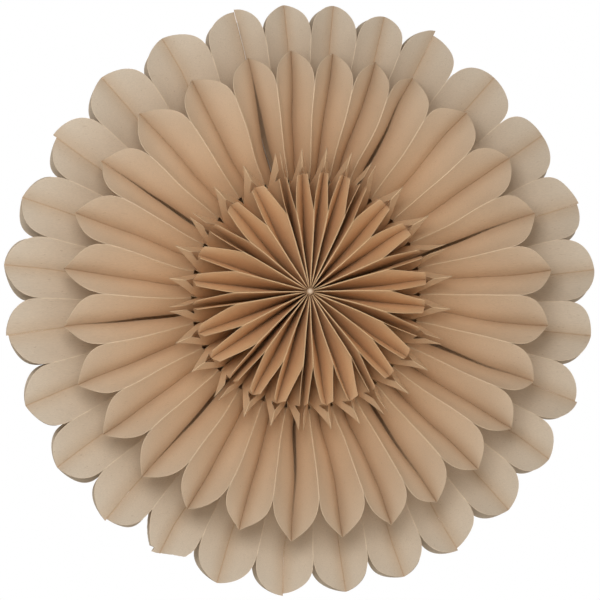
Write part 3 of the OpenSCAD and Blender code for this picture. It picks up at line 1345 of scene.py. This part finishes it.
@dataclass(frozen=True)
class StarSheets:
    """The ring of folded sheets, laid in blocks of pleats.

    Attributes:
        first_seam: Angle of the first seam, in degrees.
        block_spread: Angle that each block takes up, in degrees.
        block_pleats: Number of pleats in each block.
        seams: How each block meets the one before it.
        closing_block: Number of the block that starts at the closing seam, from 0.
        seam_pinch: How far the front ridges beside a seam lean, in degrees.
        star_gap: How far the star's valleys stay short of a seam, in degrees.
        squeeze: Angle that a sheet may take up near the axis, in degrees.
        strip_room: Half of the room for the adhesive strip.
        bow: How far the panels curve between their creases, from 0 to 1.
        wear: Sheets with a damaged petal tip, by number.
    """

    first_seam: float = 19.5
    block_spread: tuple[float, ...] = (44, 40, 44, 40, 41, 38, 36, 37, 40)
    block_pleats: tuple[int, ...] = (3, 4, 3, 3, 3, 3, 3, 3, 3)
    seams: tuple[Seam, ...] = (
        Seam(slides=(-0.6 * MM, 0.8 * MM)),
        Seam(slit=0.9 * MM, slides=(-0.5 * MM, 3.0 * MM)),
        Seam(leaf_gap=1.8 * MM, slit=0.8 * MM),
        Seam(slit=0.9 * MM, slides=(0.6 * MM, -2.4 * MM)),
        Seam(slit=1.1 * MM),
        Seam(),
        Seam(),
        Seam(),
        Seam(),
    )
    closing_block: int = 2
    seam_pinch: float = 2.5
    star_gap: float = 0.9
    squeeze: float = 2.6
    strip_room: float = 0.15 * MM
    bow: float = 0.3
    wear: tuple[tuple[int, Wear], ...] = ((34, Wear.TORN), (35, Wear.CLIPPED))

    @property
    def closing_angle(self) -> float:
        """Angle of the seam that closes the ring, in degrees."""
        return self.first_seam + sum(self.block_spread[:self.closing_block])

    def sheets(self) -> list[Sheet]:
        """Lays the sheets round the ring.

        Returns:
            The place of every sheet, in order.
        """
        laid = []
        start = self.first_seam
        blocks = len(self.block_spread)
        for block, (spread, pleats) in enumerate(zip(self.block_spread, self.block_pleats)):
            pitch = spread / pleats
            for pleat in range(pleats):
                ridge = start + (pleat + 0.5) * pitch
                first, last = pleat == 0, pleat == pleats - 1
                lean = (last - first) * self.seam_pinch
                for way in Way:
                    at_seam = first if way is Way.CLOCKWISE else last
                    next_block = block if way is Way.CLOCKWISE else (block + 1) % blocks
                    seam = self.seams[next_block] if at_seam else None
                    closes = at_seam and next_block == self.closing_block
                    valley = ridge + way * pitch / 2
                    laid.append(Sheet(len(laid) + 1, ridge, lean, valley, way, seam, closes))
            start += spread
        return laid

    def joint(self, sheet: Sheet) -> dict[str, float]:
        """How a sheet meets the seam on its valleys, as inputs of the fold."""
        if sheet.seam is None:
            return dict.fromkeys(("Star Gap", "Leaf Gap", "Petal Slit", "Petal Slide", "Strip Room"), 0.0)
        return {
            "Star Gap": math.radians(self.star_gap),
            "Leaf Gap": sheet.seam.leaf_gap,
            "Petal Slit": sheet.seam.slit,
            "Petal Slide": sheet.seam.slides[sheet.way is Way.CLOCKWISE],
            "Strip Room": self.strip_room if sheet.closes_ring else 0.0,
        }

    def build(
        self, tree: FoldTree, paper: bpy.types.Material, edge: bpy.types.Material
    ) -> list[bpy.types.Object]:
        """Folds every sheet and puts it in the place of its solid.

        Args:
            tree: The tree that folds a sheet.
            paper: Finish of the faces.
            edge: Finish of the cut edges.

        Returns:
            The sheets.
        """
        blanks = {wear: tree.blank.mesh(wear) for wear in Wear}
        wear = dict(self.wear)
        pieces = []
        for sheet in self.sheets():
            values = tree.sizes | self.joint(sheet) | {
                "Ridge Angle": math.radians(sheet.ridge),
                "Ridge Lean": math.radians(sheet.lean),
                "Valley Angle": math.radians(sheet.valley),
                "Way": float(sheet.way),
                "Squeeze": math.radians(self.squeeze),
                "Paper": paper,
                "Cut Edge": edge,
            }
            blank = blanks[wear.get(sheet.number, Wear.WHOLE)]
            piece = grown("paper_" + sheet.node, blank, tree.tree, values)
            put(piece, sheet.node)
            pieces.append(piece)
        for blank in blanks.values():
            bpy.data.meshes.remove(blank)
        return pieces


@dataclass(frozen=True)
class Lamp:
    """A soft box that faces the star.

    Attributes:
        name: The light's name.
        place: Where it stands.
        size: Width of its square face.
        power: Its power in watts.
        colour: Its colour.
    """

    name: str
    place: tuple[float, float, float]
    size: float
    power: float
    colour: Colour = (1.0, 0.99, 0.97)

    def build(self) -> bpy.types.Object:
        """Builds the light, turned towards the origin."""
        data = bpy.data.lights.new(self.name, "AREA")
        data.size = self.size
        data.energy = self.power
        data.color = self.colour
        lamp = bpy.data.objects.new(self.name, data)
        lamp.location = self.place
        lamp.rotation_euler = (-Vector(self.place)).to_track_quat("-Z", "Y").to_euler()
        bpy.context.scene.collection.objects.link(lamp)
        return lamp


@dataclass(frozen=True)
class Studio:
    """Pale floor, soft light and the camera.

    Attributes:
        floor_z: Height of the floor.
        floor_w: Width of the floor.
        floor_colour: Colour of the floor.
        floor_rough: Roughness of the floor.
        floor_glow: Light that the floor gives by itself.
        azimuth: Angle of the camera round the star, in degrees.
        elevation: Angle of the camera over the star's middle, in degrees.
        distance: Distance of the camera from the star's middle.
        view_w: Width of the picture at the star's middle.
        aim: How far the picture is shifted to the right and up.
        sensor_w: Width of the camera's sensor, in millimetres.
        front_sky: Colour of the surround in front of the star.
        side_sky: Colour of the surround at its sides.
        back_sky: Colour of the surround behind it.
        side_span: Where the front turns into the sides, -1 being in front and 1 behind.
        back_span: Where the sides turn into the back.
        lamps: The soft boxes.
    """

    floor_z: float = -0.55
    floor_w: float = 5.0
    floor_colour: Colour = (0.86, 0.85, 0.83)
    floor_rough: float = 0.9
    floor_glow: float = 0.2
    azimuth: float = -5.5
    elevation: float = -4.3
    distance: float = 3.0
    view_w: float = 0.4047
    aim: tuple[float, float] = (-1.15 * MM, -1.5 * MM)
    sensor_w: float = 36.0
    front_sky: Colour = (0.20, 0.167, 0.133)
    side_sky: Colour = (0.44, 0.40, 0.345)
    back_sky: Colour = (0.9, 0.86, 0.8)
    side_span: tuple[float, float] = (-0.4, 0.1)
    back_span: tuple[float, float] = (0.2, 0.8)
    lamps: tuple[Lamp, ...] = (
        Lamp("front_box", (-0.18, -1.05, 0.15), 0.4, 4.5),
        Lamp("near_box", (-0.32, -0.4, 0.18), 0.4, 0.37),
        Lamp("far_box", (1.2, -1.9, 0.4), 1.4, 6.0),
    )

    def build(self) -> None:
        """Builds the whole set."""
        self.build_floor()
        self.build_sky()
        self.build_camera()
        for lamp in self.lamps:
            lamp.build()
        bpy.context.scene.view_settings.view_transform = "Standard"

    def build_floor(self) -> bpy.types.Object:
        """Builds the pale floor, well below the hanging star."""
        half = self.floor_w / 2
        ends = ((-half, -half), (half, -half), (half, half), (-half, half))
        mesh = plain_mesh("floor", [Vector((x, y, self.floor_z)) for x, y in ends], [(0, 1, 2, 3)])
        material = bpy.data.materials.new("floor_paint")
        material.use_nodes = True
        surface = material.node_tree.nodes["Principled BSDF"]
        surface.inputs["Base Color"].default_value = (*self.floor_colour, 1.0)
        surface.inputs["Roughness"].default_value = self.floor_rough
        surface.inputs["Emission Color"].default_value = (*self.floor_colour, 1.0)
        surface.inputs["Emission Strength"].default_value = self.floor_glow
        mesh.materials.append(material)
        floor = bpy.data.objects.new("floor", mesh)
        bpy.context.scene.collection.objects.link(floor)
        return floor

    def build_sky(self) -> None:
        """Builds a white surround that lights the star softly, least from the front."""
        world = bpy.data.worlds.new("white_surround")
        world.use_nodes = True
        graph = Graph(world.node_tree)
        soft = world.node_tree.nodes["Background"]
        parts = graph.node("ShaderNodeSeparateXYZ")
        graph.feed(parts.inputs[0], graph.node("ShaderNodeTexCoord").outputs["Generated"])
        tone: object = (*self.front_sky, 1.0)
        for (start, end), sky in ((self.side_span, self.side_sky), (self.back_span, self.back_sky)):
            share = graph.node("ShaderNodeMapRange")
            graph.fill(share, Value=parts.outputs["Y"], From_Min=start, From_Max=end)
            tone = graph.colours(share.outputs[0], tone, (*sky, 1.0))
        graph.fill(soft, Color=tone, Strength=1.0)
        white = graph.node("ShaderNodeBackground")
        graph.fill(white, Color=(1.0, 1.0, 1.0, 1.0), Strength=1.0)
        seen = graph.node("ShaderNodeLightPath").outputs["Is Camera Ray"]
        mixed = graph.node("ShaderNodeMixShader")
        for socket, value in zip(mixed.inputs, (seen, soft.outputs[0], white.outputs[0])):
            graph.feed(socket, value)
        graph.feed(world.node_tree.nodes["World Output"].inputs["Surface"], mixed.outputs[0])
        bpy.context.scene.world = world

    def build_camera(self) -> bpy.types.Object:
        """Builds the camera, a little left of the axis and below it."""
        data = bpy.data.cameras.new("camera")
        data.sensor_width = self.sensor_w
        data.lens = self.sensor_w * self.distance / self.view_w
        turn, tilt = math.radians(self.azimuth), math.radians(self.elevation)
        back = Vector((math.sin(turn) * math.cos(tilt), -math.cos(turn) * math.cos(tilt), math.sin(tilt)))
        camera = bpy.data.objects.new("camera", data)
        turned = (-back).to_track_quat("-Z", "Y")
        camera.location = back * self.distance + turned @ Vector((*self.aim, 0.0))
        camera.rotation_euler = turned.to_euler()
        bpy.context.scene.collection.objects.link(camera)
        bpy.context.scene.camera = camera
        return camera


# Painted shade and light: the faces are darker near the axis and paler at the tips, and darker again along
# the valley folds
KRAFT_FACE = PaperFinish(
    "kraft_face",
    core=(0.715, 0.47, 0.27),
    rim=(0.665, 0.58, 0.475),
    fleck=(0.34, 0.21, 0.12),
    valley_shade=(0.52, 0.355, 0.215),
)
# Painted shade and light on the cut edges too: darker near the axis and paler at the tips
KRAFT_EDGE = PaperFinish(
    "kraft_cut_edge",
    core=(0.62, 0.42, 0.24),
    rim=(0.78, 0.66, 0.52),
    fleck=(0.5, 0.34, 0.2),
)
STRIP_LINER = PaperFinish(
    "strip_liner",
    core=(0.86, 0.84, 0.82),
    rim=(0.86, 0.84, 0.82),
    fleck=(0.6, 0.58, 0.55),
    roughness=0.4,
)


def main() -> None:
    """Builds the star, its finishes and the studio."""
    logging.basicConfig(level=logging.INFO, format="%(name)s: %(message)s")
    groups = Groups(GrainGroup().build(), AxisFadeGroup().build())
    warp = Warp().group()
    star = StarSheets()
    tree = FoldTree(DieCutBlank(), warp, star.bow)
    star.build(tree, KRAFT_FACE.build(groups), KRAFT_EDGE.build(groups))
    GlueBead().build(GlueFinish().build(groups))
    ClosingStrip(star.closing_angle).build(warp, STRIP_LINER.build(groups))
    Studio().build()


if __name__ == "__main__":
    main()
